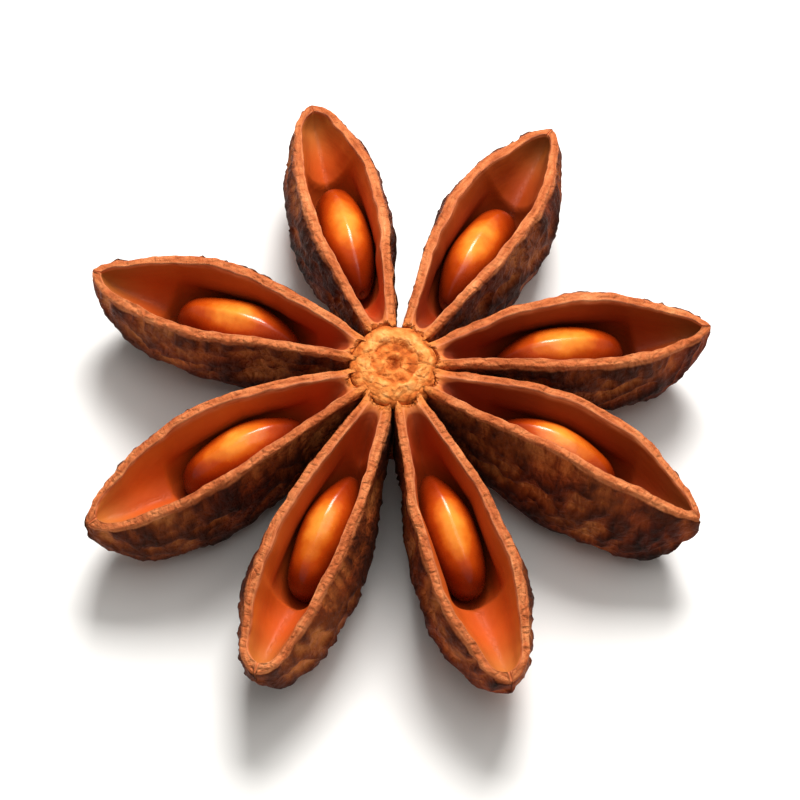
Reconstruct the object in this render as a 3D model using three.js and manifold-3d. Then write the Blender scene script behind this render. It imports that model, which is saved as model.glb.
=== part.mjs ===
// A dried star anise pod: eight boat-shaped carpels grown out of one central column, each split
// open along its upper edge round a single glossy seed.
// Millimetres, +Z up. The pod lies open side up on its keels and on the face of its broken stalk,
// and the origin is the middle of that face.

import * as THREE from "three";
import { mergeVertices } from "three/addons/utils/BufferGeometryUtils.js";
import Module from "manifold-3d";

const wasm = await Module();
wasm.setup();

// The column, with a ring round its top and a broken stalk below.
const COLUMN_RADIUS = 2.2;
const COLUMN_FOOT_HEIGHT = 2.2;
const COLUMN_SHOULDER_HEIGHT = 7.95;
const RING_HEIGHT = 8.65;
const RING_RADIUS = 1.5;
const RING_OUTER_RADIUS = 1.95;
const RING_OUTER_DEPTH = 0.35; // how far its outer edge lies below its crest
const RING_ROUNDING = 0.06;
const RING_GROOVE_RADIUS = 1.1;
const RING_GROOVE_DEPTH = 0.35;
const BUTTON_RADIUS = 0.65;
const BUTTON_DEPTH = 0.1; // how far it lies below the ring's crest
const DIMPLE_RADIUS = 0.3;
const DIMPLE_DEPTH = 0.4;
const STALK_RADIUS = 1.4;
const STALK_NECK_RADIUS = 1.15;
const STALK_NECK_HEIGHT = 1.1;
const STALK_TOP_HEIGHT = 1.7; // where it spreads into the column's foot
const COLUMN_SIDES = 32;

// A carpel. Heights are above the surface the pod lies on, depths are below the lips, and
// a reach is a share of the carpel's length from the column's axis (0) to its tip (1).
const ROOT_REACH = 0.08; // inside the column
const LIP_ROOT_HEIGHT = 8.35;
const LIP_TIP_HEIGHT = 4.9;
const LIP_FALL_POWER = 2.9;
const BEAK_REACH = 0.88; // from here on the lips turn up into the beak
const BEAK_RISE = 0.45;
const KEEL_ROOT_HEIGHT = 1.5;
const KEEL_LOWEST_REACH = 0.62;
const KEEL_SINK = 0.07; // how far the keel would pass below the resting surface if it went on
const KEEL_RISE_POWER = 3.8;
const BEAK_THICKNESS = 1.15;
const WIDEST_REACH = 0.64;
const ROOT_HALF_WIDTH = 0.72;
const WIDENING_POWER = 1.35; // above 1 the sides curve in near the column
const NARROWING_POWER = 1.05;
const TIP_ROUND_REACH = 0.93; // from here on the tip rounds off in a blunt arc
const TIP_FLATNESS = 0.93; // how much of that arc is there before the tip's small flat end
const TIP_LIFT_POWER = 4; // a raised tip bends up more sharply for a higher power
const LIP_WIDTH = 0.49;
const LIP_WIDTH_AT_TIP = 0.39;
const LIP_NARROWING_REACH = 0.8;
const LIP_BEVEL = 0.16; // how far both edges of a lip lie below its crest
const LIP_WAVE = 0.07; // how far a lip strays sideways
const LIP_WAVE_TURN = 19; // how many radians of wave a carpel's length holds
const LIP_WAVE_START = [0.2, 0.4]; // the reaches between which the wave grows
const LIP_WAVE_END = [0.85, 1]; // and dies away
const BELLY_BULGE = 0.42; // how far the wall stands out past the lip
const BELLY_SHARE = 0.7; // where, as a share of the height from keel to lip
const BELLY_START_REACH = 0.25;
const BELLY_FADE_REACH = 0.8;
const KEEL_BLUNTNESS = 2.2; // a rounder keel for a higher power
const WALL_FULLNESS = 1.8; // a fuller lower wall for a higher power

// The hollow: a close pocket round the seed, a slit towards the column and a trough to the tip.
const SLIT_REACH = 0.14;
const TROUGH_END_REACH = 0.972; // from here on both lips are one rim round the tip
const CLOSED_HALF_WIDTH = 0.03; // half the width of the faint groove left between them there
const CLOSED_SHARE = 0.12; // how much of the hollow's depth is left there
const POCKET_ROOM = 0.6; // below the seed and past its ends
const POCKET_END_POWER = 0.7; // a blunter end for a lower power
const POCKET_EDGE_DEPTH = 1.7;
const POCKET_EDGE_HALF_WIDTH = 1.3;
const POCKET_EDGE_SHARE = 0.84; // the most of the opening that the pocket's edge takes
const POCKET_HALF_WIDTH = 1.5;
const POCKET_SHARE = 0.77; // the most of the lips' width that the pocket takes
const POCKET_WIDEST_SHARE = 0.53; // where it is widest, as a share of its depth
const POCKET_FLOOR_SHARE = 0.72; // how much of that width is left above its round floor
const FLOOR_START_SHARE = 0.87; // where the floor begins, as a share of the hollow's depth
const TROUGH_WIDTH_SHARES = [0.8, 0.6, 0.36]; // of the opening, going down
const TROUGH_DEPTH_SHARES = [0.38, 0.68]; // of its depth, for the first two of these
const TIP_NOTCH_DEPTH = 0.5;
const ROOT_NOTCH_DEPTH = 0.2;

// A seed: a flattened egg that stands on edge in its pocket, slimmer towards the column.
const SEED_LENGTH = 6.7;
const SEED_THICKNESS = 2.6;
const SEED_HEIGHT = 3.7;
const SEED_CREST_DEPTH = 1.05;
const SEED_TAPER = 0.3; // how much slimmer its end near the column is than an ellipse
const SEED_FULLNESS = 0.4; // how much fuller its other end is than an ellipse
const SEED_SIDES = 14;
const SEED_BANDS = 11;

const STATIONS = 19;
const STATION_CROWDING = 1.6; // stations lie closer together towards the tip
const WALL_SHARES = [1, BELLY_SHARE, 0.38, 0.1, 0]; // heights of the outer wall's points
const WELD_DISTANCE = 1e-3; // points closer than this are one
const DEGREE = Math.PI / 180;

// One row for each carpel. azimuth is its direction in degrees from +X, length is from the axis
// to the tip, width is over the lips and tip is half the width of the blunt tip. roll turns it
// about its own length in degrees, lift raises its tip, bend carries its tip sideways and belly
// scales the wall's bulge. Its seed has a reach, that of its middle, and a shift, how far it has
// slid to the left as seen from the column.
const CARPELS = [
  {
    azimuth: 108, length: 16.8, width: 4.2, tip: 0.75,
    roll: -3, lift: 0.1, bend: -0.9, belly: 1,
    seed: { reach: 0.53, shift: 0 },
  },
  {
    azimuth: 60.6, length: 16.9, width: 4.5, tip: 0.6,
    roll: 3, lift: 0.2, bend: 0.2, belly: 1.1,
    seed: { reach: 0.51, shift: 0.03 },
  },
  {
    azimuth: 17, length: 16.5, width: 4.3, tip: 0.45,
    roll: -2, lift: 0, bend: -1.2, belly: 1,
    seed: { reach: 0.52, shift: 0 },
  },
  {
    azimuth: -24, length: 17, width: 4, tip: 0.5,
    roll: 15, lift: -0.3, bend: -0.3, belly: 1.2,
    seed: { reach: 0.52, shift: -0.02 },
  },
  {
    azimuth: -70.5, length: 17.4, width: 4.6, tip: 0.92,
    roll: 2, lift: 0.1, bend: 0.1, belly: 0.9,
    seed: { reach: 0.485, shift: -0.07 },
  },
  {
    azimuth: -112, length: 17.4, width: 4.2, tip: 0.9,
    roll: -6, lift: 0.2, bend: -0.5, belly: 1.2,
    seed: { reach: 0.5, shift: 0.03 },
  },
  {
    azimuth: -156.5, length: 17.2, width: 4.7, tip: 0.8,
    roll: -3, lift: -0.1, bend: 0.7, belly: 1.1,
    seed: { reach: 0.485, shift: 0 },
  },
  {
    azimuth: 152.5, length: 16.8, width: 4.5, tip: 0.6,
    roll: 4, lift: 0.1, bend: 1.1, belly: 0.9,
    seed: { reach: 0.515, shift: 0.04 },
  },
];

const HUSK = { color: 0x8a3a16, roughness: 0.75, metalness: 0 };
const SEED = { color: 0xc8641c, roughness: 0.25, metalness: 0 };

// Rises from 0 to 1 between two values, with level ends.
function smooth(from, to, value) {
  return THREE.MathUtils.smoothstep(value, from, to);
}

function blend(from, to, share) {
  return THREE.MathUtils.lerp(from, to, share);
}

function lipHeight(reach) {
  const fallen = Math.pow(reach, LIP_FALL_POWER);
  return blend(LIP_ROOT_HEIGHT, LIP_TIP_HEIGHT, fallen) + BEAK_RISE * smooth(BEAK_REACH, 1, reach);
}

// The keel sinks from the column to its lowest point, then climbs ever more steeply to the beak.
function keelHeight(reach) {
  if (reach < KEEL_LOWEST_REACH) {
    const sunk = Math.sin((Math.PI / 2) * (reach / KEEL_LOWEST_REACH));
    return blend(KEEL_ROOT_HEIGHT, -KEEL_SINK, sunk);
  }
  const climbed = (reach - KEEL_LOWEST_REACH) / (1 - KEEL_LOWEST_REACH);
  const top = lipHeight(1) - BEAK_THICKNESS;
  return blend(-KEEL_SINK, top, Math.pow(climbed, KEEL_RISE_POWER));
}

// An arc from 1 where the tip starts to round off down to almost 0 at its end.
function roundedOff(reach, end) {
  const outward = Math.max(0, (reach - TIP_ROUND_REACH) / (end - TIP_ROUND_REACH));
  return Math.sqrt(Math.max(0, 1 - (TIP_FLATNESS * outward) ** 2));
}

// Half the width over the lips, without the rounding of the tip.
function fullHalfWidth(reach, carpel) {
  const widest = carpel.width / 2;
  if (reach < WIDEST_REACH) {
    const outward = Math.max(0, (reach - ROOT_REACH) / (WIDEST_REACH - ROOT_REACH));
    const widened = Math.pow(Math.sin((Math.PI / 2) * outward), WIDENING_POWER);
    return blend(ROOT_HALF_WIDTH, widest, widened);
  }
  const outward = (reach - WIDEST_REACH) / (1 - WIDEST_REACH);
  const left = Math.pow(Math.cos((Math.PI / 2) * outward), NARROWING_POWER);
  return blend(carpel.tip, widest, left);
}

// How open the hollow is: 1 up to the tip, where the lips close in an arc of their own.
function openShare(reach) {
  return Math.max(CLOSED_SHARE, roundedOff(reach, TROUGH_END_REACH));
}

// The belly swells clear of the neighbouring carpels and dies away at the beak.
function bellyShare(reach) {
  return smooth(BELLY_START_REACH, WIDEST_REACH, reach) * (1 - smooth(BELLY_FADE_REACH, 1, reach));
}

function lipWidth(reach) {
  return blend(LIP_WIDTH, LIP_WIDTH_AT_TIP, smooth(LIP_NARROWING_REACH, 1, reach));
}

// How far inside the pocket a place is: 1 at the seed's middle and 0 at both of the pocket's ends.
function pocketShare(reach, carpel) {
  const halfLength = SEED_LENGTH / 2 + POCKET_ROOM;
  const off = ((reach - carpel.seed.reach) * carpel.length) / halfLength;
  return Math.max(0, 1 - off * off);
}

// How far the hollow goes down below the lips: to the height of the seed's middle at both ends of
// the pocket, and lower between them.
function hollowDepth(reach, carpel) {
  const middleDepth = SEED_CREST_DEPTH + SEED_HEIGHT / 2;
  const halfLength = (SEED_LENGTH / 2 + POCKET_ROOM) / carpel.length;
  const start = carpel.seed.reach - halfLength;
  const end = carpel.seed.reach + halfLength;
  const slit = blend(ROOT_NOTCH_DEPTH, middleDepth, smooth(SLIT_REACH, start, reach));
  const alongTrough = Math.max(0, (reach - end) / (1 - end));
  const trough = blend(middleDepth, TIP_NOTCH_DEPTH, alongTrough);
  const sunk = Math.pow(pocketShare(reach, carpel), POCKET_END_POWER);
  return Math.min(slit, trough) + (SEED_HEIGHT / 2 + POCKET_ROOM) * sunk;
}

// The outer wall's half width at a share of its height: a round keel, a full belly, and a wall
// that draws in again to the lip.
function wallHalfWidth(share, lip, belly) {
  if (share > BELLY_SHARE) {
    const inward = (share - BELLY_SHARE) / (1 - BELLY_SHARE);
    return blend(belly, lip, inward * inward);
  }
  const below = 1 - share / BELLY_SHARE;
  return belly * Math.pow(1 - Math.pow(below, KEEL_BLUNTNESS), 1 / WALL_FULLNESS);
}

// The hollow's half widths and depths, from the lip down to the floor.
function hollowSide(carpel, reach, lip, opening) {
  const open = openShare(reach);
  const floor = open * hollowDepth(reach, carpel);
  const inPocket = Math.sqrt(pocketShare(reach, carpel));
  const edge = Math.min(POCKET_EDGE_HALF_WIDTH, POCKET_EDGE_SHARE * opening);
  const pocket = Math.min(POCKET_HALF_WIDTH, POCKET_SHARE * lip);
  const [edgeShare, middleShare, floorShare] = TROUGH_WIDTH_SHARES;
  const [edgeDepthShare, middleDepthShare] = TROUGH_DEPTH_SHARES;
  return [
    [opening, open * LIP_BEVEL],
    [
      blend(edgeShare * opening, edge, inPocket),
      blend(edgeDepthShare * floor, POCKET_EDGE_DEPTH, inPocket),
    ],
    [
      blend(middleShare * opening, pocket, inPocket),
      blend(middleDepthShare, POCKET_WIDEST_SHARE, inPocket) * floor,
    ],
    [
      blend(floorShare * opening, POCKET_FLOOR_SHARE * pocket, inPocket),
      FLOOR_START_SHARE * floor,
    ],
    [0, floor],
  ];
}

// Moves a point of a carpel's own upright section to its place in the pod, on or above the
// surface that the pod lies on.
function place(carpel, reach, side, height) {
  const roll = carpel.roll * DEGREE * smooth(ROOT_REACH, WIDEST_REACH, reach);
  const pivot = (lipHeight(reach) + keelHeight(reach)) / 2;
  const rolledSide = side * Math.cos(roll) + (height - pivot) * Math.sin(roll);
  const rolledHeight = pivot + (height - pivot) * Math.cos(roll) - side * Math.sin(roll);
  const across = rolledSide + carpel.bend * reach * reach;
  const up = rolledHeight + carpel.lift * Math.pow(reach, TIP_LIFT_POWER);
  const along = reach * carpel.length;
  const turn = carpel.azimuth * DEGREE;
  return new THREE.Vector3(
    along * Math.cos(turn) - across * Math.sin(turn),
    along * Math.sin(turn) + across * Math.cos(turn),
    Math.max(0, up),
  );
}

// One closed section of a carpel: lip crest, outer wall down to the keel and up the other side,
// the other lip crest, then the hollow down to its floor and back up.
function carpelSection(carpel, reach) {
  const top = lipHeight(reach);
  const keel = keelHeight(reach);
  const wave = LIP_WAVE * smooth(...LIP_WAVE_START, reach) * (1 - smooth(...LIP_WAVE_END, reach));
  const sides = [1, -1].map((sign) => {
    const phase = LIP_WAVE_TURN * reach + sign * carpel.azimuth;
    const full = fullHalfWidth(reach, carpel) + wave * Math.sin(phase);
    const lip = full * roundedOff(reach, 1);
    const opening = Math.max(CLOSED_HALF_WIDTH, (full - lipWidth(reach)) * openShare(reach));
    const belly = lip + carpel.belly * BELLY_BULGE * bellyShare(reach);
    const crest = place(carpel, reach, (sign * (lip + opening)) / 2, top);
    const wall = WALL_SHARES.map((share) => {
      const height = blend(keel, top - LIP_BEVEL, share);
      return place(carpel, reach, sign * wallHalfWidth(share, lip, belly), height);
    });
    const hollow = hollowSide(carpel, reach, lip, opening).map(([across, depth]) =>
      place(carpel, reach, sign * across, top - depth),
    );
    return { crest, wall, hollow };
  });
  const [left, right] = sides;
  return [
    left.crest,
    ...left.wall,
    ...right.wall.slice(0, -1).reverse(),
    right.crest,
    ...right.hollow,
    ...left.hollow.slice(0, -1).reverse(),
  ];
}

// Skins a row of like sections and closes both ends. A section is a U: its first half is the
// outer wall and its second half the hollow, so each end is a strip between the two.
function loft(sections) {
  const count = sections[0].length;
  const faces = [];
  const addTriangle = (a, b, c) => {
    const isFlat = a === b || b === c || c === a;
    if (!isFlat) faces.push(a, b, c);
  };
  for (let s = 0; s + 1 < sections.length; s++) {
    for (let i = 0; i < count; i++) {
      const a = s * count + i;
      const b = s * count + ((i + 1) % count);
      addTriangle(a, a + count, b + count);
      addTriangle(a, b + count, b);
    }
  }
  const last = (sections.length - 1) * count;
  for (let i = 0; i < count / 2; i++) {
    const inner = (count - i) % count;
    const nextInner = count - i - 1;
    addTriangle(i, i + 1, nextInner);
    addTriangle(i, nextInner, inner);
    addTriangle(last + i, last + nextInner, last + i + 1);
    addTriangle(last + i, last + inner, last + nextInner);
  }
  const points = sections.flat().flatMap((point) => point.toArray());
  const geometry = new THREE.BufferGeometry();
  geometry.setAttribute("position", new THREE.Float32BufferAttribute(points, 3));
  geometry.setIndex(faces);
  return geometry;
}

function carpelGeometry(carpel) {
  const sections = [];
  for (let s = 0; s < STATIONS; s++) {
    const left = Math.pow(1 - s / (STATIONS - 1), STATION_CROWDING);
    sections.push(carpelSection(carpel, 1 - (1 - ROOT_REACH) * left));
  }
  return loft(sections);
}

// The column: stalk, foot, shaft, and the ring with a dimpled button inside it.
function columnGeometry() {
  const profile = [
    [0, 0],
    [STALK_RADIUS, 0],
    [STALK_NECK_RADIUS, STALK_NECK_HEIGHT],
    [STALK_RADIUS, STALK_TOP_HEIGHT],
    [COLUMN_RADIUS, COLUMN_FOOT_HEIGHT],
    [COLUMN_RADIUS, COLUMN_SHOULDER_HEIGHT],
    [RING_OUTER_RADIUS, RING_HEIGHT - RING_OUTER_DEPTH],
    [(RING_OUTER_RADIUS + RING_RADIUS) / 2, RING_HEIGHT - RING_ROUNDING],
    [RING_RADIUS, RING_HEIGHT],
    [RING_GROOVE_RADIUS, RING_HEIGHT - RING_GROOVE_DEPTH],
    [BUTTON_RADIUS, RING_HEIGHT - BUTTON_DEPTH],
    [DIMPLE_RADIUS, RING_HEIGHT - DIMPLE_DEPTH],
    [0, RING_HEIGHT - DIMPLE_DEPTH],
  ];
  return new THREE.LatheGeometry(
    profile.map(([radius, height]) => new THREE.Vector2(radius, height)),
    COLUMN_SIDES,
  ).rotateX(Math.PI / 2);
}

// A seed is made round, flattened, slimmed at one end, and set along its carpel's own curve.
function seedGeometry(carpel) {
  const geometry = new THREE.SphereGeometry(1, SEED_SIDES, SEED_BANDS).rotateZ(Math.PI / 2);
  const position = geometry.getAttribute("position");
  const centreDepth = SEED_CREST_DEPTH + SEED_HEIGHT / 2;
  for (let i = 0; i < position.count; i++) {
    const along = position.getX(i);
    const girth = 1 + (along > 0 ? SEED_FULLNESS * along ** 4 : -SEED_TAPER * along ** 2);
    const reach = carpel.seed.reach + (along * SEED_LENGTH) / 2 / carpel.length;
    const across = carpel.seed.shift + (position.getY(i) * girth * SEED_THICKNESS) / 2;
    const height = lipHeight(reach) - centreDepth + (position.getZ(i) * girth * SEED_HEIGHT) / 2;
    const point = place(carpel, reach, across, height);
    position.setXYZ(i, point.x, point.y, point.z);
  }
  return geometry;
}

// A closed geometry as a solid, and back.
function toSolid(geometry) {
  const bare = geometry.clone();
  bare.deleteAttribute("normal");
  bare.deleteAttribute("uv");
  const merged = mergeVertices(bare, WELD_DISTANCE);
  const vertProperties = merged.getAttribute("position").array;
  const triVerts = new Uint32Array(merged.index.array);
  return new wasm.Manifold(new wasm.Mesh({ numProp: 3, vertProperties, triVerts }));
}

function toGeometry(solid) {
  const { vertProperties, triVerts } = solid.getMesh();
  const geometry = new THREE.BufferGeometry();
  geometry.setAttribute("position", new THREE.Float32BufferAttribute(vertProperties, 3));
  geometry.setIndex(new THREE.Uint32BufferAttribute(triVerts, 1));
  geometry.computeVertexNormals();
  return geometry;
}

function huskGeometry() {
  const carpels = CARPELS.map((carpel) => toSolid(carpelGeometry(carpel)));
  return toGeometry(carpels.reduce((husk, carpel) => husk.add(carpel), toSolid(columnGeometry())));
}

function namedMesh(name, geometry, finish) {
  const mesh = new THREE.Mesh(geometry, new THREE.MeshStandardMaterial(finish));
  mesh.name = name;
  return mesh;
}

const pod = new THREE.Group();
pod.add(namedMesh("husk", huskGeometry(), HUSK));
CARPELS.forEach((carpel, i) => {
  pod.add(namedMesh("seed_" + (i + 1), seedGeometry(carpel), SEED));
});

export default pod;
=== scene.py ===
"""The looks of a dried star anise pod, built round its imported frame.

Shapes are worked out in millimetres from named sizes, most of them those of the solids, and then
made in metres.
A reach is a share of a carpel's length from the column's axis (0) to its tip (1).
"""

import math

import bmesh
import bpy
import numpy as np
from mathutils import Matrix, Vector, kdtree, noise


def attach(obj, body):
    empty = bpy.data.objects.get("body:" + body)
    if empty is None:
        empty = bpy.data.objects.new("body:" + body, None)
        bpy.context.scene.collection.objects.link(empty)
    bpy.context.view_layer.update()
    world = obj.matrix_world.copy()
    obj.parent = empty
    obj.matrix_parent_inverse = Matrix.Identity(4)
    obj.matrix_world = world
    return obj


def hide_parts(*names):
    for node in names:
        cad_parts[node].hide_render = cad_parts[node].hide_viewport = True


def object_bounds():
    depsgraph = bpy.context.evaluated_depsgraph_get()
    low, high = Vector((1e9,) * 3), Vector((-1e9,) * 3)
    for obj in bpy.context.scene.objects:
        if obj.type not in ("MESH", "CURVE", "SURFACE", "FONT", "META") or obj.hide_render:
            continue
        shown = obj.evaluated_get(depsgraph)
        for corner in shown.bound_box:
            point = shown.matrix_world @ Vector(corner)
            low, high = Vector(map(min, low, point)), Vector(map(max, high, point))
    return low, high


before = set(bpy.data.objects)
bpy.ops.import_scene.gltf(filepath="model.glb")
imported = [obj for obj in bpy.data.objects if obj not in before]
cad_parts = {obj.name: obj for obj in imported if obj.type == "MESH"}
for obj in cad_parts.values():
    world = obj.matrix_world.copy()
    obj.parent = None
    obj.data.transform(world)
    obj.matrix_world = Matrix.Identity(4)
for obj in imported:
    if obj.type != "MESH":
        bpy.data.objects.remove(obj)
cad_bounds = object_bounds()

MM = 0.001

# The column and its ring: radius and height, close to the solids' outline with rounder corners.
COLUMN_PROFILE = (
    (0.0, 0.0),
    (0.9, 0.0),
    (1.38, 0.02),
    (1.2, 0.7),
    (1.16, 1.2),
    (1.45, 1.8),
    (2.1, 2.35),
    (2.2, 5.0),
    (2.26, 7.6),
    (2.3, 8.0),
    (2.16, 8.3),
    (1.85, 8.46),
    (1.5, 8.65),
    (1.25, 8.55),
    (1.07, 8.38),
    (0.85, 8.42),
    (0.6, 8.5),
    (0.42, 8.42),
    (0.24, 8.2),
    (0.0, 8.14),
)
COLUMN_RINGS = 72
COLUMN_SIDES = 104
RING_SPAN = (1.0, 1.3, 1.8, 2.05)  # radii over which its paler colour comes and goes
BUTTON_RADIUS = 0.5  # of the middle of its paler band
BUTTON_SPREAD = 0.2
SPOKE_SPREAD = 0.17  # in radians, of the raised spoke towards each carpel

# Where the carpels' lips run into the ring, the seams are smoothed.
HUB_SPAN = (1.5, 3.3)
HUB_LOWEST = 7.6
HUB_PASSES = 20

# A carpel, as in the solids but for its uneven lips and rounder tip.
ROOT_REACH = 0.08
LIP_ROOT_HEIGHT = 8.35
LIP_TIP_HEIGHT = 4.9
LIP_FALL_POWER = 2.9
BEAK_REACH = 0.88
BEAK_RISE = 0.45
KEEL_ROOT_HEIGHT = 1.5
KEEL_LOWEST_REACH = 0.62
KEEL_SINK = 0.07
KEEL_RISE_POWER = 3.8
BEAK_THICKNESS = 1.15
WIDEST_REACH = 0.64
ROOT_HALF_WIDTH = 0.72
WIDENING_POWER = 1.35
NARROWING_POWER = 1.05
TIP_ROUND_REACH = 0.93
TIP_LEAST_SHARE = 0.04  # of the width, at the very end of the tip
TIP_LIFT_POWER = 4
LIP_WIDTH = 0.49
LIP_WIDTH_AT_TIP = 0.39
LIP_NARROWING_REACH = 0.8
LIP_BEVEL = 0.16
LIP_WAVE = 0.11  # how far a lip strays sideways
LIP_WIDTH_WAVE = 0.07
LIP_HEIGHT_WAVE = 0.1
LIP_ROUNDNESS = 0.75
BELLY_BULGE = 0.42
BELLY_SHARE = 0.7
BELLY_START_REACH = 0.25
BELLY_FADE_REACH = 0.8
KEEL_BLUNTNESS = 2.2
WALL_FULLNESS = 1.8
WALL_CROWDING = 1.5  # points lie closer together towards the keel

# The hollow of a carpel, as in the solids but for a finer groove at the tip.
SLIT_REACH = 0.14
TROUGH_END_REACH = 0.972
CLOSED_HALF_WIDTH = 0.02
CLOSED_SHARE = 0.12
POCKET_ROOM = 0.6
POCKET_END_POWER = 0.7
POCKET_EDGE_DEPTH = 1.7
POCKET_EDGE_HALF_WIDTH = 1.3
POCKET_EDGE_SHARE = 0.84
POCKET_HALF_WIDTH = 1.5
POCKET_SHARE = 0.77
POCKET_WIDEST_SHARE = 0.53
POCKET_FLOOR_SHARE = 0.72
FLOOR_START_SHARE = 0.87
OPENING_SHARE = 0.9  # the most of the lips' width that the opening takes
TROUGH_WIDTH_SHARES = (0.8, 0.6, 0.36)
TROUGH_DEPTH_SHARES = (0.38, 0.68)
TIP_NOTCH_DEPTH = 0.5
ROOT_NOTCH_DEPTH = 0.2

# A seed, a little fuller than in the solids, and still just clear of its pocket.
SEED_LENGTH = 6.8
SEED_THICKNESS = 2.72
SEED_HEIGHT = 3.85
SEED_CREST_DEPTH = 1.05
SEED_TAPER = 0.3
SEED_FULLNESS = 0.4
SEED_RIDGE = 0.04  # of its half height, along the crest
SEED_SCAR = 0.1  # of its half length, at the end near the column
SEED_SIDES = 72
SEED_BANDS = 72
DEEPEST = SEED_CREST_DEPTH + SEED_HEIGHT + POCKET_ROOM

# The relief of the bark: how far each kind of unevenness stands out.
CREASE_STEEPNESS = 2.2
LUMPS = 0.2
WRINKLE_NET = 0.26
FINE_WRINKLES = 0.11
KEEL_FOLDS = 0.2
LIP_RIBS = 0.2
LIP_GRAIN = 0.045
LINING_LUMPS = 0.05

# Points along a carpel and round half of its section.
STATIONS = 96
STATION_CROWDING = 1.35
WALL_POINTS = 34
LIP_POINTS = 8
HOLLOW_POINTS = 14

CARPELS = (
    dict(azimuth=108.0, length=16.8, width=4.2, tip=0.75, roll=-3, lift=0.1, bend=-0.9, belly=1.0),
    dict(azimuth=60.6, length=16.9, width=4.5, tip=0.6, roll=3, lift=0.2, bend=0.2, belly=1.1),
    dict(azimuth=17.0, length=16.5, width=4.3, tip=0.45, roll=-2, lift=0.0, bend=-1.2, belly=1.0),
    dict(azimuth=-24.0, length=17.0, width=4.0, tip=0.5, roll=15, lift=-0.3, bend=-0.3, belly=1.2),
    dict(azimuth=-70.5, length=17.4, width=4.6, tip=0.92, roll=2, lift=0.1, bend=0.1, belly=0.9),
    dict(azimuth=-112.0, length=17.4, width=4.2, tip=0.9, roll=-6, lift=0.2, bend=-0.5, belly=1.2),
    dict(azimuth=-156.5, length=17.2, width=4.7, tip=0.8, roll=-3, lift=-0.1, bend=0.7, belly=1.1),
    dict(azimuth=152.5, length=16.8, width=4.5, tip=0.6, roll=4, lift=0.1, bend=1.1, belly=0.9),
)

# How light the wood of each carpel is, from 0 for the darkest to 1 for the palest: partly the
# wood's own tone, partly painted shade on carpels that turn away from the light and painted shadow
# as cast by neighbouring pods.
WOOD_TONES_AND_SHADE = (1.0, 0.4, 0.25, 0.2, 1.0, 0.9, 1.0, 0.6)

# Each seed's place in the carpel of the same row: the reach of its middle and how far it has slid
# to the left as seen from the column.
SEEDS = (
    dict(reach=0.53, shift=0.0),
    dict(reach=0.51, shift=0.03),
    dict(reach=0.52, shift=0.0),
    dict(reach=0.52, shift=-0.02),
    dict(reach=0.485, shift=-0.07),
    dict(reach=0.5, shift=0.03),
    dict(reach=0.485, shift=0.0),
    dict(reach=0.515, shift=0.04),
)

# ---------------------------------------------------------------- numbers


def smooth(low, high, value):
    """Rises from 0 to 1 between two values, with level ends."""
    share = np.clip((value - low) / (high - low), 0, 1)
    return share * share * (3 - 2 * share)


def mix(start, end, share):
    return start + (end - start) * share


def noise_field(*coordinates, seed=0.0, octaves=1):
    """Perlin noise, about -1 to 1, at coordinates that are arrays of one shape or numbers."""
    x, y, z = np.broadcast_arrays(*coordinates)
    points = np.stack([x + seed, y + 1.7 * seed, z + 0.3 * seed], axis=-1).reshape(-1, 3).tolist()
    found = [noise.fractal(p, 0.9, 2.1, octaves, noise_basis="PERLIN_ORIGINAL") for p in points]
    return np.array(found).reshape(x.shape)


def creases(along, around, seed):
    """Noise folded into round hills with sharp valleys between them, 0 in a valley to 1."""
    return np.clip(np.abs(noise_field(along, around, seed)) * CREASE_STEEPNESS, 0, 1)


def curve_through(points, count):
    """A smooth curve through each row of points, as count points. points is [rows, knots, 2].
    It ends on the axis, where it is level, as its mirror image runs on from there."""
    knots = points.shape[1]
    before = 2 * points[:, :1] - points[:, 1:2]
    after = points[:, -2:-1] * (-1, 1)
    padded = np.concatenate([before, points, after], axis=1)
    place = np.linspace(0, knots - 1, count)
    step = np.minimum(place.astype(int), knots - 2)
    t = (place - step)[None, :, None]
    a, b, c, d = (padded[:, step + i] for i in range(4))
    return 0.5 * (
        2 * b + (c - a) * t + (2 * a - 5 * b + 4 * c - d) * t**2 + (3 * b - a - 3 * c + d) * t**3
    )


# ---------------------------------------------------------------- shape of a carpel


def lip_height(reach):
    fallen = mix(LIP_ROOT_HEIGHT, LIP_TIP_HEIGHT, reach**LIP_FALL_POWER)
    return fallen + BEAK_RISE * smooth(BEAK_REACH, 1, reach)


def keel_height(reach):
    sunk = np.sin(math.pi / 2 * np.minimum(reach / KEEL_LOWEST_REACH, 1))
    climbed = np.maximum(reach - KEEL_LOWEST_REACH, 0) / (1 - KEEL_LOWEST_REACH)
    top = lip_height(1.0) - BEAK_THICKNESS
    inner = mix(KEEL_ROOT_HEIGHT, -KEEL_SINK, sunk)
    return inner + (top + KEEL_SINK) * climbed**KEEL_RISE_POWER


def rounded_off(reach, end):
    """An arc from 1 where the tip starts to round off down to 0 at its end."""
    outward = np.clip((reach - TIP_ROUND_REACH) / (end - TIP_ROUND_REACH), 0, 1)
    return np.sqrt(1 - outward**2)


def full_half_width(reach, carpel):
    """Half the width over the lips, without the rounding of the tip."""
    widest = carpel["width"] / 2
    inner = np.clip((reach - ROOT_REACH) / (WIDEST_REACH - ROOT_REACH), 0, 1)
    outer = np.clip((reach - WIDEST_REACH) / (1 - WIDEST_REACH), 0, 1)
    growing = mix(ROOT_HALF_WIDTH, widest, np.sin(math.pi / 2 * inner) ** WIDENING_POWER)
    closing = mix(carpel["tip"], widest, np.cos(math.pi / 2 * outer) ** NARROWING_POWER)
    return np.where(reach < WIDEST_REACH, growing, closing)


def belly_share(reach):
    fading = 1 - smooth(BELLY_FADE_REACH, 1, reach)
    return smooth(BELLY_START_REACH, WIDEST_REACH, reach) * fading


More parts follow.
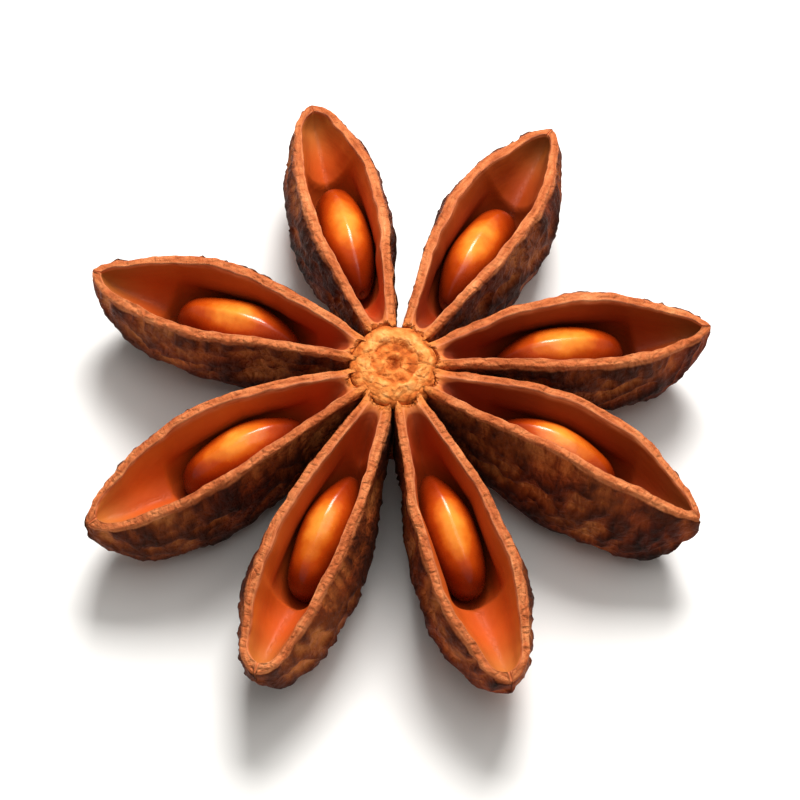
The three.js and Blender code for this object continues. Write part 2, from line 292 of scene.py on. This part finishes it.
def wall_half_width(share, lip, belly):
    inward = np.clip((share - BELLY_SHARE) / (1 - BELLY_SHARE), 0, 1)
    low = np.clip(share / BELLY_SHARE, 0, 1)
    return np.where(
        share > BELLY_SHARE,
        mix(belly, lip, inward**2),
        belly * (1 - (1 - low) ** KEEL_BLUNTNESS) ** (1 / WALL_FULLNESS),
    )


def open_share(reach):
    """How open the hollow is: 1 up to the tip, where the lips close into one rim."""
    return np.maximum(CLOSED_SHARE, rounded_off(reach, TROUGH_END_REACH))


def hollow_side(carpel, seat, reach, lip, opening):
    """The hollow's half width and depth at each station, from the lip down to the floor. At both
    ends of the pocket the floor is as high as the seed's middle, and between them lower."""
    half_length = (SEED_LENGTH / 2 + POCKET_ROOM) / carpel["length"]
    start = seat["reach"] - half_length
    end = seat["reach"] + half_length
    middle_depth = SEED_CREST_DEPTH + SEED_HEIGHT / 2
    slit = mix(ROOT_NOTCH_DEPTH, middle_depth, smooth(SLIT_REACH, start, reach))
    trough = mix(middle_depth, TIP_NOTCH_DEPTH, np.maximum(0, (reach - end) / (1 - end)))
    pocket_share = np.maximum(0, 1 - ((reach - seat["reach"]) / half_length) ** 2)
    sunk = (SEED_HEIGHT / 2 + POCKET_ROOM) * pocket_share**POCKET_END_POWER
    open_here = open_share(reach)
    floor = open_here * (np.minimum(slit, trough) + sunk)
    in_pocket = np.sqrt(pocket_share)
    edge = np.minimum(POCKET_EDGE_HALF_WIDTH, POCKET_EDGE_SHARE * opening)
    pocket = np.minimum(POCKET_HALF_WIDTH, POCKET_SHARE * lip)
    wide, middle, narrow = TROUGH_WIDTH_SHARES
    widths = (
        opening,
        mix(wide * opening, edge, in_pocket),
        mix(middle * opening, pocket, in_pocket),
        mix(narrow * opening, POCKET_FLOOR_SHARE * pocket, in_pocket),
        0 * opening,
    )
    depths = (
        open_here * LIP_BEVEL,
        mix(TROUGH_DEPTH_SHARES[0] * floor, POCKET_EDGE_DEPTH, in_pocket),
        mix(TROUGH_DEPTH_SHARES[1], POCKET_WIDEST_SHARE, in_pocket) * floor,
        FLOOR_START_SHARE * floor,
        floor,
    )
    return np.stack([np.stack(widths, axis=1), np.stack(depths, axis=1)], axis=2)


def place(carpel, reach, side, height):
    """Moves points of a carpel's own upright sections to their place in the pod."""
    roll = math.radians(carpel["roll"]) * smooth(ROOT_REACH, WIDEST_REACH, reach)
    pivot = (lip_height(reach) + keel_height(reach)) / 2
    rolled_side = side * np.cos(roll) + (height - pivot) * np.sin(roll)
    rolled_height = pivot + (height - pivot) * np.cos(roll) - side * np.sin(roll)
    across = rolled_side + carpel["bend"] * reach**2
    up = rolled_height + carpel["lift"] * reach**TIP_LIFT_POWER
    along = reach * carpel["length"]
    turn = math.radians(carpel["azimuth"])
    x = along * math.cos(turn) - across * math.sin(turn)
    y = along * math.sin(turn) + across * math.cos(turn)
    return np.stack(np.broadcast_arrays(x, y, up), axis=-1)


def half_section(carpel, seat, reach, sign, seed):
    """One side of every section: (side, height, lip, lining, depth, wall share) for the points
    from the keel up the outer wall, over the lip and down to the hollow's floor."""
    along = reach * carpel["length"]
    free = smooth(0.2, 0.4, reach) * (1 - smooth(0.9, 1, reach))
    wave = LIP_WAVE * noise_field(along / 2.1, sign * 3.0, seed, seed=seed, octaves=2) * free
    full = full_half_width(reach, carpel) + wave
    lip = full * np.maximum(rounded_off(reach, 1.0), TIP_LEAST_SHARE)
    lip_width = mix(LIP_WIDTH, LIP_WIDTH_AT_TIP, smooth(LIP_NARROWING_REACH, 1, reach))
    width_wave = noise_field(along / 1.3, sign * 7.0, seed, octaves=2)
    lip_width += LIP_WIDTH_WAVE * width_wave * free
    opening = (full - lip_width) * open_share(reach)
    opening = np.minimum(np.maximum(opening, CLOSED_HALF_WIDTH), OPENING_SHARE * lip)
    belly = lip + carpel["belly"] * BELLY_BULGE * belly_share(reach)
    height_wave = noise_field(along / 1.9, sign * 5.0, seed, octaves=2)
    top = lip_height(reach) + LIP_HEIGHT_WAVE * height_wave * free
    keel = keel_height(reach)

    share = np.linspace(0, 1, WALL_POINTS) ** WALL_CROWDING
    wall_side = wall_half_width(share[None, :], lip[:, None], belly[:, None])
    wall_height = mix(keel[:, None], (top - LIP_BEVEL)[:, None], share[None, :])

    angle = np.linspace(0, math.pi, LIP_POINTS + 2)[1:-1]
    middle = (lip + opening)[:, None] / 2
    half = (lip - opening)[:, None] / 2
    lip_side = middle + half * np.cos(angle)[None, :]
    bevel = LIP_BEVEL * np.where(angle < math.pi / 2, 1, open_share(reach)[:, None])
    lip_top = top[:, None] - bevel * (1 - np.sin(angle) ** LIP_ROUNDNESS)[None, :]

    hollow = curve_through(hollow_side(carpel, seat, reach, lip, opening), HOLLOW_POINTS)

    def spread(wall, over_lip, inside):
        rows = (len(reach), 1)
        parts = (
            np.tile(wall, rows) if wall.ndim == 1 else wall,
            np.tile(over_lip, rows) if over_lip.ndim == 1 else over_lip,
            np.tile(inside, rows) if inside.ndim == 1 else inside,
        )
        return np.concatenate(parts, axis=1)

    down = hollow[:, :, 1]
    return dict(
        side=sign * spread(wall_side, lip_side, hollow[:, :, 0]),
        height=spread(wall_height, lip_top, top[:, None] - down),
        lip=spread(smooth(0.965, 0.995, share), np.ones(LIP_POINTS), 1 - smooth(0.1, 0.42, down)),
        lining=spread(0 * share, smooth(math.pi * 0.6, math.pi, angle), np.ones(HOLLOW_POINTS)),
        depth=spread(0 * share, 0 * angle, down / DEEPEST),
        share=spread(share, np.ones(LIP_POINTS), np.ones(HOLLOW_POINTS)),
        around=spread(
            (1 - share) * (top - keel)[:, None], -half * np.linspace(0, 2, LIP_POINTS), -down
        ),
    )


def bark_relief(along, up, below_lip, keel_near, seed):
    """How far the bark stands out, in millimetres, at a distance along the carpel and round its
    wall: lumps, a net of wrinkles, folds along the keel and short ribs under the lip."""
    warp = 0.5 * noise_field(along / 1.6, up / 1.6, seed, octaves=2)
    lumps = noise_field(along / 3.4, up / 3.0, seed + 4, octaves=2)
    net = creases(along / 1.9 + warp, up / 1.5 - warp, seed + 9)
    fine = creases(along / 0.85 - warp, up / 0.75, seed + 14)
    folds = creases(along / 4.5, up / 1.0 + warp, seed + 19)
    ribs = creases(along / 0.75 + 0.4 * warp, up / 3.5, seed + 24)
    under_lip = 1 - smooth(0.2, 2.2, below_lip)
    body = 1 - under_lip
    relief = LUMPS * lumps
    relief += WRINKLE_NET * (net - 0.5) * body * (1 - 0.6 * keel_near)
    relief += FINE_WRINKLES * (fine - 0.5) * (0.4 + 0.6 * body)
    relief += KEEL_FOLDS * (folds - 0.5) * keel_near
    relief += LIP_RIBS * (ribs - 0.5) * under_lip
    return relief


def carpel_grid(carpel, seat, number):
    """Points [station, ring, 3] of one closed carpel, and its masks of the same shape."""
    left_over = (1 - np.linspace(0, 1, STATIONS)) ** STATION_CROWDING
    reach = 1 - (1 - ROOT_REACH) * left_over
    seed = 11.3 * (number + 1)
    halves = [half_section(carpel, seat, reach, sign, seed) for sign in (1, -1)]
    # The left half runs from the floor out and down to the keel, the right half on from there.
    rings = {
        key: np.concatenate([halves[0][key][:, ::-1], halves[1][key][:, 1:-1]], axis=1)
        for key in halves[0]
    }
    across = np.broadcast_to(reach[:, None], rings["side"].shape)
    points = place(carpel, across, rings["side"], rings["height"])
    normals = grid_normals(points)

    along = across * carpel["length"]
    below_lip = lip_height(across) - rings["height"]
    up = np.sign(rings["side"]) * (rings["height"] - keel_height(across))
    keel_near = 1 - smooth(0.05, 0.45, rings["share"])
    outside = (1 - rings["lining"]) * (1 - rings["lip"])
    relief = bark_relief(along, up, below_lip, keel_near, seed)
    joined = smooth(0.1, 0.22, across)
    side, height = rings["side"], rings["height"]
    grain = noise_field(along / 0.5, side / 0.3, height / 0.5, seed=seed, octaves=2)
    shift = outside * relief * joined + rings["lip"] * LIP_GRAIN * grain * joined
    lining_lumps = noise_field(along / 3.0, side / 2.0, height / 2.0, seed=seed)
    shift += rings["lining"] * LINING_LUMPS * lining_lumps
    points = points + normals * shift[..., None]

    masks = np.stack(
        [
            rings["lip"],
            rings["lining"],
            rings["depth"],
            np.clip(0.5 + relief / 0.6, 0, 1),
            0.6 * (1 - smooth(0.12, 0.22, across)),
            across,
            along + 40.0 * number,
            rings["around"] * np.sign(rings["side"]),
            # the carpel's tone: partly the wood's own, partly painted shade and painted shadow
            WOOD_TONES_AND_SHADE[number] + 0 * rings["side"],
        ],
        axis=-1,
    )
    points[..., 2] = np.maximum(points[..., 2], 0)
    return points, masks


def grid_normals(points):
    """Outward normals of rings of points: the ring runs clockwise as seen from the column."""
    around = np.roll(points, -1, axis=1) - np.roll(points, 1, axis=1)
    outward = np.gradient(points, axis=0)
    normals = np.cross(around, outward)
    length = np.linalg.norm(normals, axis=-1, keepdims=True)
    return normals / np.maximum(length, 1e-9)


# ---------------------------------------------------------------- meshes


def grid_faces(rows, ring):
    """Quads between the rings, and one face at each end."""
    faces = []
    for r in range(rows - 1):
        for i in range(ring):
            a = r * ring + i
            b = r * ring + (i + 1) % ring
            faces.append((a, b, b + ring, a + ring))
    faces.append(tuple(range(ring - 1, -1, -1)))
    faces.append(tuple(range((rows - 1) * ring, rows * ring)))
    return faces


def mesh_object(name, points, faces):
    """A smooth object from points in millimetres."""
    data = bpy.data.meshes.new(name)
    data.from_pydata((np.asarray(points).reshape(-1, 3) * MM).tolist(), [], faces)
    data.polygons.foreach_set("use_smooth", [True] * len(data.polygons))
    data.update()
    made = bpy.data.objects.new(name, data)
    bpy.context.scene.collection.objects.link(made)
    return made


def column_grid():
    """Rings of points up the stalk and column, over the ring and in to the dimple."""
    profile = curve_through(np.array(COLUMN_PROFILE)[None], COLUMN_RINGS)[0]
    profile = profile[1:-1]
    angle = np.linspace(0, 2 * math.pi, COLUMN_SIDES, endpoint=False)[None, :]
    radius = np.maximum(profile[:, :1], 0.02)
    height = np.maximum(profile[:, 1:], 0)
    x = radius * np.cos(angle)
    y = radius * np.sin(angle)
    uneven = noise_field(x / 0.9, y / 0.9, height / 2.0, seed=3.1, octaves=2)
    fine = noise_field(x / 0.33, y / 0.33, height / 0.6, seed=8.2, octaves=2)
    spokes = sum(
        np.exp(-((np.angle(np.exp(1j * (angle - math.radians(c["azimuth"])))) / SPOKE_SPREAD) ** 2))
        for c in CARPELS
    )
    outer = smooth(0.9, 1.4, radius)
    crown = smooth(7.6, 8.4, height)
    stalk = 1 - smooth(1.6, 2.6, height)
    ring = smooth(*RING_SPAN[:2], radius) * (1 - smooth(*RING_SPAN[2:], radius))
    button = np.exp(-(((radius - BUTTON_RADIUS) / BUTTON_SPREAD) ** 2))
    hollow = 1 - smooth(0.08, 0.4, radius)
    lifted = height + crown * outer * (0.1 * spokes - 0.08 + 0.12 * uneven + 0.1 * fine)
    lifted = lifted + crown * (1 - outer) * (0.1 * uneven + 0.06 * fine)
    lifted = lifted + (1 - smooth(0.0, 0.15, height)) * smooth(0, 1, fine) * 0.05
    radius = radius * (1 + (0.05 + 0.08 * crown) * uneven + 0.03 * fine * stalk)
    x, y = radius * np.cos(angle), radius * np.sin(angle)
    points = np.stack(np.broadcast_arrays(x, y, lifted), axis=-1)
    top = smooth(7.0, 7.7, height)
    relief = 0.5 + 0.25 * uneven + 0.25 * fine
    shade = top * np.clip(0.4 + 0.35 * ring + 0.2 * button - 0.3 * hollow + 0.4 * fine, 0, 1)
    around = 2.0 * angle
    masks = np.stack(
        np.broadcast_arrays(top, 0 * relief, 0, relief, shade, 0, height, around, 0.8), axis=-1
    )
    return points, masks


def joined_husk():
    """The carpels and the column as one closed mesh, with its masks as point attributes."""
    column_points, column_masks = column_grid()
    grids = [(column_points, column_masks)]
    for number, (carpel, seat) in enumerate(zip(CARPELS, SEEDS)):
        grids.append(carpel_grid(carpel, seat, number))
    solids = []
    for number, (points, _masks) in enumerate(grids):
        solids.append(mesh_object(f"shell_{number}", points, grid_faces(*points.shape[:2])))
    husk = solids[0]
    for other in solids[1:]:
        cut = husk.modifiers.new("join", "BOOLEAN")
        cut.operation = "UNION"
        cut.solver = "MANIFOLD"
        cut.object = other
        graph = bpy.context.evaluated_depsgraph_get()
        joined = bpy.data.meshes.new_from_object(husk.evaluated_get(graph))
        husk.modifiers.clear()
        husk.data = joined
        joined.materials.clear()
    for other in solids[1:]:
        bpy.data.objects.remove(other)
    husk.name = husk.data.name = "husk_skin"
    copy_masks(husk.data, grids)
    soften_hub(husk.data)
    husk.data.polygons.foreach_set("use_smooth", [True] * len(husk.data.polygons))
    return husk


MASKS = ("lip", "lining", "depth", "relief", "hub", "reach", "along", "around", "tone")


def soften_hub(data):
    """Rounds the seams where the carpels' lips run into the ring."""
    mesh = bmesh.new()
    mesh.from_mesh(data)
    inner, outer = (radius * MM for radius in HUB_SPAN)
    near = [v for v in mesh.verts if v.co.z > HUB_LOWEST * MM and inner < v.co.xy.length < outer]
    for _ in range(HUB_PASSES):
        bmesh.ops.smooth_vert(
            mesh, verts=near, factor=0.5, use_axis_x=True, use_axis_y=True, use_axis_z=True
        )
    mesh.to_mesh(data)
    mesh.free()


def copy_masks(data, grids):
    """Gives each vertex of the joined mesh the masks of the nearest point that it came from."""
    points = np.concatenate([p.reshape(-1, 3) for p, _ in grids]) * MM
    masks = np.concatenate([m.reshape(-1, len(MASKS)) for _, m in grids])
    tree = kdtree.KDTree(len(points))
    for i, point in enumerate(points.tolist()):
        tree.insert(point, i)
    tree.balance()
    nearest = [tree.find(v.co)[1] for v in data.vertices]
    for column, name in enumerate(MASKS):
        layer = data.attributes.new(name, "FLOAT", "POINT")
        layer.data.foreach_set("value", masks[nearest, column].astype(np.float32))


def seed_skin(carpel, seat, number):
    """A flattened egg on edge in its pocket, with a low ridge along its crest and a scar at the
    end near the column."""
    band = np.linspace(0, math.pi, SEED_BANDS)[1:-1, None]
    turn = np.linspace(0, 2 * math.pi, SEED_SIDES, endpoint=False)[None, :]
    along = -np.cos(band) + 0 * turn
    side = np.sin(band) * np.cos(turn)
    up = np.sin(band) * np.sin(turn)
    girth = 1 + np.where(along > 0, SEED_FULLNESS * along**4, -SEED_TAPER * along**2)
    ridge = SEED_RIDGE * np.exp(-((side / 0.16) ** 2)) * smooth(0.1, 0.7, up)
    scar = SEED_SCAR * np.exp(-((along + 1) ** 2 + side**2 + (up - 0.1) ** 2) / 0.03)
    seed = 7.7 * (number + 1)
    uneven = 1 + 0.035 * noise_field(along * 1.4, side * 1.2, up * 1.2, seed=seed, octaves=2)
    uneven += 0.004 * noise_field(along * 9, side * 6, up * 6, seed=seed)
    body = girth * uneven + ridge
    reach = seat["reach"] + (along * (1 - scar) * SEED_LENGTH) / 2 / carpel["length"]
    centre = lip_height(reach) - SEED_CREST_DEPTH - SEED_HEIGHT / 2
    tilt = 0.2 * noise_field(seed, 0.0, 0.0)
    height = centre + up * body * SEED_HEIGHT / 2 + tilt * along
    across = seat["shift"] + side * body * SEED_THICKNESS / 2
    points = place(carpel, reach, across, height)
    made = mesh_object(f"seed_coat_{number + 1}", points, grid_faces(*points.shape[:2]))
    for name, values in (("along", along), ("up", up)):
        layer = made.data.attributes.new(name, "FLOAT", "POINT")
        layer.data.foreach_set("value", values.astype(np.float32).ravel())
    return made


# ---------------------------------------------------------------- materials


def paint(red, green, blue):
    """A screen colour, 0 to 255, as the linear colour that shaders take."""
    linear = []
    for value in (red, green, blue):
        v = value / 255
        linear.append(v / 12.92 if v <= 0.04045 else ((v + 0.055) / 1.055) ** 2.4)
    return (*linear, 1.0)


NOISE_ROUGHNESS = 0.55


class Shader:
    """A material and short ways to add nodes to it. A socket given as a value is linked."""

    def __init__(self, name):
        self.material = bpy.data.materials.new(name)
        self.material.use_nodes = True
        self.tree = self.material.node_tree
        self.surface = self.tree.nodes["Principled BSDF"]

    def put(self, socket, value):
        if isinstance(value, bpy.types.NodeSocket):
            self.tree.links.new(value, socket)
        else:
            socket.default_value = value

    def node(self, kind, inputs=(), **settings):
        made = self.tree.nodes.new(kind)
        for key, value in settings.items():
            setattr(made, key, value)
        for key, value in dict(inputs).items():
            self.put(made.inputs[key], value)
        return made

    def attribute(self, name):
        return self.node("ShaderNodeAttribute", attribute_name=name).outputs["Fac"]

    def position(self):
        return self.node("ShaderNodeTexCoord").outputs["Object"]

    def noise(self, size, detail=3.0, roughness=NOISE_ROUGHNESS, distortion=0.0):
        """Noise with features of a size in millimetres."""
        inputs = {
            "Vector": self.position(),
            "Scale": 1 / (size * MM),
            "Detail": detail,
            "Roughness": roughness,
            "Distortion": distortion,
        }
        return self.node("ShaderNodeTexNoise", inputs).outputs["Fac"]

    def unrolled(self, stretch):
        """Places in millimetres along the carpel and round its section."""
        inputs = {
            "X": self.math("MULTIPLY", self.attribute("along"), stretch[0]),
            "Y": self.math("MULTIPLY", self.attribute("around"), stretch[1]),
        }
        return self.node("ShaderNodeCombineXYZ", inputs).outputs["Vector"]

    def noise_along(self, size, stretch, detail=3.0, distortion=0.0):
        """Noise that runs with the carpel, finer in a direction stretched more."""
        inputs = {
            "Vector": self.unrolled(stretch),
            "Scale": 1 / size,
            "Detail": detail,
            "Roughness": NOISE_ROUGHNESS,
            "Distortion": distortion,
        }
        return self.node("ShaderNodeTexNoise", inputs).outputs["Fac"]

    def cracks(self, size):
        """Distance from the nearest edge of a net of cells."""
        inputs = {"Vector": self.position(), "Scale": 1 / (size * MM)}
        made = self.node("ShaderNodeTexVoronoi", inputs, feature="DISTANCE_TO_EDGE")
        return made.outputs["Distance"]

    def scale(self, value, low, high, new_low=0.0, new_high=1.0):
        inputs = {
            "Value": value,
            "From Min": low,
            "From Max": high,
            "To Min": new_low,
            "To Max": new_high,
        }
        made = self.node("ShaderNodeMapRange", inputs, interpolation_type="SMOOTHSTEP")
        return made.outputs["Result"]

    def math(self, operation, first, second=0.0):
        made = self.node("ShaderNodeMath", operation=operation)
        self.put(made.inputs[0], first)
        self.put(made.inputs[1], second)
        return made.outputs["Value"]

    def blend_value(self, share, first, second):
        kept = self.math("MULTIPLY", first, 1 - share)
        return self.math("ADD", kept, self.math("MULTIPLY", second, share))

    def ramp(self, value, *stops):
        """A colour for a value: stops are (place, colour)."""
        made = self.node("ShaderNodeValToRGB", {"Fac": value})
        elements = made.color_ramp.elements
        while len(elements) < len(stops):
            elements.new(1.0)
        for element, (where, colour) in zip(elements, stops):
            element.position = where
            element.color = colour
        return made.outputs["Color"]

    def blend(self, share, first, second, mode="MIX"):
        made = self.node("ShaderNodeMix", data_type="RGBA", blend_type=mode)
        self.put(made.inputs["Factor"], share)
        self.put(made.inputs["A"], first)
        self.put(made.inputs["B"], second)
        return made.outputs["Result"]

    def bump(self, height, depth, strength):
        inputs = {"Height": height, "Distance": depth * MM, "Strength": strength}
        return self.node("ShaderNodeBump", inputs).outputs["Normal"]


def bark_colour(s, relief, grain):
    """Brown wood in broad uneven patches, with its own grain, painted shade that makes it dark
    red-brown in the creases and painted highlights that make it tan on the ridges.
    """
    patches = s.noise(4.5, detail=3)
    # The relief paints shade into the creases and highlights onto the ridges; the grain is the
    # wood's own.
    shade = s.math("ADD", s.math("MULTIPLY", relief, 0.7), s.math("MULTIPLY", grain, 0.5))
    colour = s.ramp(
        shade,
        (0.3, paint(30, 10, 2)),
        (0.5, paint(82, 32, 8)),
        (0.66, paint(134, 62, 22)),
        (0.86, paint(204, 120, 60)),
    )
    warm = s.scale(patches, 0.42, 0.66)
    return s.blend(warm, colour, s.blend(1.0, colour, paint(255, 218, 196), "MULTIPLY"))


def lip_colour(s):
    """Pale orange-tan with a fine lengthwise grain and darker specks."""
    grain = s.noise_along(0.3, detail=4, stretch=(0.35, 1.6))
    broad = s.noise(1.8, detail=2)
    tone = s.math("ADD", s.math("MULTIPLY", grain, 0.6), s.math("MULTIPLY", broad, 0.4))
    return s.ramp(
        tone,
        (0.3, paint(142, 64, 28)),
        (0.46, paint(188, 98, 52)),
        (0.62, paint(215, 129, 77)),
        (0.8, paint(244, 174, 118)),
    )


def lining_colour(s, depth):
    """Smooth orange-brown wood, tan at the tip, with painted light and shade: darker and redder
    further down the hollow as painted shade, one even orange-red towards the column as painted
    light in the shaded inner hollow, and darker at the slit's root as painted shade.
    """
    streaks = s.noise(0.7, detail=3, distortion=0.4)
    down = s.math("ADD", depth, s.math("MULTIPLY", s.math("SUBTRACT", streaks, 0.5), 0.25))
    reach = s.attribute("reach")
    # Painted shade: the wood darkens and reddens further down the hollow.
    wood_and_painted_light = s.ramp(
        down,
        (0.0, paint(200, 94, 27)),
        (0.25, paint(190, 80, 18)),
        (0.55, paint(180, 70, 15)),
        (1.0, paint(132, 42, 8)),
    )
    # Painted light: towards the column the depth shading gives way to one even orange-red, lifting
    # the shaded narrow hollow there.
    wood_and_painted_light = s.blend(s.scale(reach, 0.45, 0.2), wood_and_painted_light, paint(186, 66, 17))
    # Painted shade: darker at the slit's root, next to the column.
    wood_and_painted_light = s.blend(s.scale(reach, 0.24, 0.15), wood_and_painted_light, paint(148, 58, 20))
    wood_and_painted_light = s.blend(s.scale(reach, 0.8, 0.98, 0.0, 0.85), wood_and_painted_light, paint(166, 100, 42))
    # Each carpel's tone dims its lining: partly the wood's own tone, partly painted shade and
    # painted shadow.
    tone = s.scale(s.attribute("tone"), 0, 1, 0, 1)
    wood_tone_and_shade = s.ramp(tone, (0.0, paint(176, 156, 146)), (1.0, paint(255, 255, 255)))
    return s.blend(1.0, wood_and_painted_light, wood_tone_and_shade, "MULTIPLY")


def husk_material():
    s = Shader("star_husk")
    relief = s.attribute("relief")
    lip = s.attribute("lip")
    lining = s.attribute("lining")
    depth = s.attribute("depth")
    hub = s.math("MULTIPLY", s.attribute("hub"), lip)

    ribs = s.noise_along(0.55, detail=3, distortion=0.6, stretch=(1.3, 0.35))
    grain = s.blend_value(0.35, ribs, s.noise(0.45, detail=5))
    colour = s.blend(lining, bark_colour(s, relief, grain), lining_colour(s, depth))
    colour = s.blend(s.scale(lip, 0.25, 0.8), colour, lip_colour(s))
    centre = s.math("MULTIPLY", s.scale(s.attribute("reach"), 0.22, 0.08), lip)
    uneven = s.math("MULTIPLY", s.math("SUBTRACT", s.noise(0.35), 0.5), 0.5)
    golden = s.ramp(
        s.math("ADD", hub, uneven),
        (0.0, paint(150, 64, 18)),
        (0.4, paint(208, 108, 42)),
        (0.75, paint(238, 146, 72)),
        (1.0, paint(252, 172, 98)),
    )
    colour = s.blend(centre, colour, golden)
    s.put(s.surface.inputs["Base Color"], colour)

    rough_bark = s.scale(s.noise(0.4), 0.3, 0.7, 0.62, 0.85)
    roughness = s.blend(lining, rough_bark, s.scale(s.noise(0.8), 0.3, 0.7, 0.5, 0.64))
    s.put(s.surface.inputs["Roughness"], roughness)
    s.put(s.surface.inputs["Specular IOR Level"], s.scale(lining, 0.0, 1.0, 0.12, 0.26))

    outside = s.math("SUBTRACT", 1.0, lining)
    net = s.math("MULTIPLY", s.scale(s.cracks(0.55), 0.0, 0.25), 0.35)
    wrinkles = s.noise(0.3, detail=6, roughness=0.68)
    rough = s.math("MULTIPLY", s.math("ADD", s.math("ADD", net, wrinkles), ribs), outside)
    streaks = s.noise_along(0.5, detail=2, stretch=(0.4, 1.2))
    inside = s.math("MULTIPLY", streaks, s.math("MULTIPLY", lining, 0.15))
    s.put(s.surface.inputs["Normal"], s.bump(s.math("ADD", rough, inside), 0.2, 0.9))
    return s.material


def seed_material():
    """A hard glossy coat, brown at the scar and darker towards the end near the column, with
    painted light:
    a golden painted highlight along the top and dark red painted shade down the flanks and
    underside.
    """
    s = Shader("star_seed")
    along = s.attribute("along")
    up = s.attribute("up")
    mottle = s.noise(1.1, detail=3)
    spread = s.math("MULTIPLY", s.math("SUBTRACT", mottle, 0.5), 0.3)
    # Painted light and shade: golden where the coat faces up, darker down its flanks; it is also
    # darker towards the end near the column.
    lit_crest = s.math("SUBTRACT", up, s.scale(along, 0.1, -0.9, 0.0, 0.3))
    tone = s.math("ADD", s.math("MULTIPLY", lit_crest, 0.95), spread)
    colour = s.ramp(
        tone,
        (0.0, paint(84, 20, 2)),
        (0.5, paint(134, 38, 3)),
        (0.72, paint(176, 64, 8)),
        (0.84, paint(210, 104, 24)),
        (0.96, paint(236, 144, 48)),
    )
    colour = s.blend(s.scale(along, -0.88, -1.0), colour, paint(96, 44, 20))
    s.put(s.surface.inputs["Base Color"], colour)
    s.put(s.surface.inputs["Roughness"], s.scale(s.noise(0.6), 0.3, 0.7, 0.2, 0.32))
    s.surface.inputs["Specular IOR Level"].default_value = 0.3
    s.surface.inputs["Coat Weight"].default_value = 0.22
    s.surface.inputs["Coat Roughness"].default_value = 0.14
    s.put(s.surface.inputs["Normal"], s.bump(s.noise(0.45, detail=3), 0.02, 0.5))
    return s.material


# ---------------------------------------------------------------- light, floor and camera


def floor_object(half_side):
    points = [(-half_side, -half_side, 0), (half_side, -half_side, 0)]
    points += [(half_side, half_side, 0), (-half_side, half_side, 0)]
    made = mesh_object("floor", points, [(0, 1, 2, 3)])
    s = Shader("pale_floor")
    s.surface.inputs["Base Color"].default_value = paint(238, 236, 232)
    s.surface.inputs["Roughness"].default_value = 0.9
    made.data.materials.append(s.material)
    return made


def area_light(name, azimuth, elevation, distance, size, power):
    """A square light that faces the pod. Azimuth is its direction seen from the pod."""
    lamp = bpy.data.lights.new(name, "AREA")
    lamp.shape = "SQUARE"
    lamp.size = size
    lamp.energy = power
    made = bpy.data.objects.new(name, lamp)
    flat = math.cos(math.radians(elevation))
    where = Vector(
        (
            distance * flat * math.cos(math.radians(azimuth)),
            distance * flat * math.sin(math.radians(azimuth)),
            distance * math.sin(math.radians(elevation)),
        )
    )
    made.location = where
    made.rotation_euler = (-where).to_track_quat("-Z", "Y").to_euler()
    bpy.context.scene.collection.objects.link(made)


def set_camera(target, width, elevation, distance, fill):
    """A long lens at the viewing angle: the pod's width takes the share fill of the picture."""
    camera = bpy.data.cameras.new("camera")
    camera.sensor_width = 36
    camera.lens = 36 * distance * fill / width
    camera.clip_start = 0.01
    camera.clip_end = 10
    made = bpy.data.objects.new("camera", camera)
    tilt = math.radians(elevation)
    back = Vector((0, -math.cos(tilt), math.sin(tilt)))
    made.location = target + back * distance
    made.rotation_euler = (-back).to_track_quat("-Z", "Y").to_euler()
    bpy.context.scene.collection.objects.link(made)
    bpy.context.scene.camera = made


def set_world():
    world = bpy.data.worlds.new("studio")
    world.use_nodes = True
    background = world.node_tree.nodes["Background"]
    background.inputs["Color"].default_value = (1.0, 0.98, 0.95, 1)
    background.inputs["Strength"].default_value = 0.28
    bpy.context.scene.world = world
    bpy.context.scene.view_settings.view_transform = "Standard"


# ---------------------------------------------------------------- the pod

husk = joined_husk()
husk.data.materials.append(husk_material())
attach(husk, "root")
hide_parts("husk")

seed_finish = seed_material()
for number, (carpel, seat) in enumerate(zip(CARPELS, SEEDS)):
    coat = seed_skin(carpel, seat, number)
    coat.data.materials.append(seed_finish)
    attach(coat, "root")
    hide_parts(f"seed_{number + 1}")

low, high = (Vector(corner) for corner in cad_bounds)
floor_object(600)
area_light("key", azimuth=80, elevation=55, distance=0.35, size=0.16, power=1.9)
area_light("top", azimuth=0, elevation=80, distance=0.4, size=0.3, power=0.5)
set_camera(
    target=Vector(((low.x + high.x) / 2, (low.y + high.y) / 2, high.z / 2)),
    width=high.x - low.x,
    elevation=64,
    distance=0.6,
    fill=0.78,
)
set_world()
